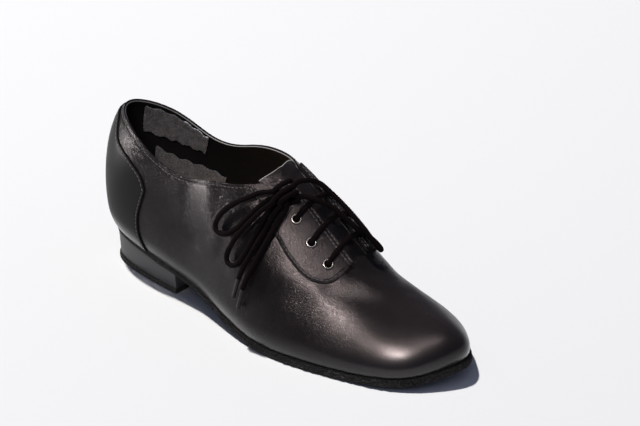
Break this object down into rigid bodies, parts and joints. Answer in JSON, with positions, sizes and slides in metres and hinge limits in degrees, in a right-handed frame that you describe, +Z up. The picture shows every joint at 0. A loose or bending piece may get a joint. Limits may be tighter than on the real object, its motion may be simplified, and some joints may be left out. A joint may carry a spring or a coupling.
{
  "type": "ballroom dance shoe",
  "caption": "Black leather lace-up ballroom dance shoe for the right foot, with a thin suede sole, low block heel, heel counter overlay and tied round lace.",
  "frame": {"origin": "on the floor under the middle of the shoe's box, without the free runs of the lace", "axes": "+X to the toe, +Y to the inner (medial) side of the foot, +Z up"},
  "size_m": [0.285, 0.0991, 0.1063],
  "materials": {
    "upper_leather": "satin",
    "insole_leather": "matte",
    "sole_suede": "matte",
    "heel_cover": "satin",
    "eyelet_metal": "satin",
    "lace_cord": "matte",
    "tip_plastic": "gloss"
  },
  "bodies": {
    "root": {"upper": "upper_leather", "heel_counter": "upper_leather", "eyestay_near": "upper_leather", "eyestay_far": "upper_leather", "tongue": "upper_leather", "insole": "insole_leather", "outsole": "sole_suede", "heel": "heel_cover", "heel_top_piece": "sole_suede", "eyelet_near_1": "eyelet_metal", "eyelet_near_2": "eyelet_metal", "eyelet_near_3": "eyelet_metal", "eyelet_far_1": "eyelet_metal", "eyelet_far_2": "eyelet_metal", "eyelet_far_3": "eyelet_metal", "lace_bar_1": "lace_cord", "lace_bar_2": "lace_cord", "lace_bar_3": "lace_cord", "lace_knot": "lace_cord", "lace_loop_upper": "lace_cord", "lace_loop_lower": "lace_cord", "lace_loop_far": "lace_cord", "lace_end_long": "lace_cord", "lace_end_short": "lace_cord", "lace_tip_long": "tip_plastic", "lace_tip_short": "tip_plastic"}
  },
  "joints": []
}
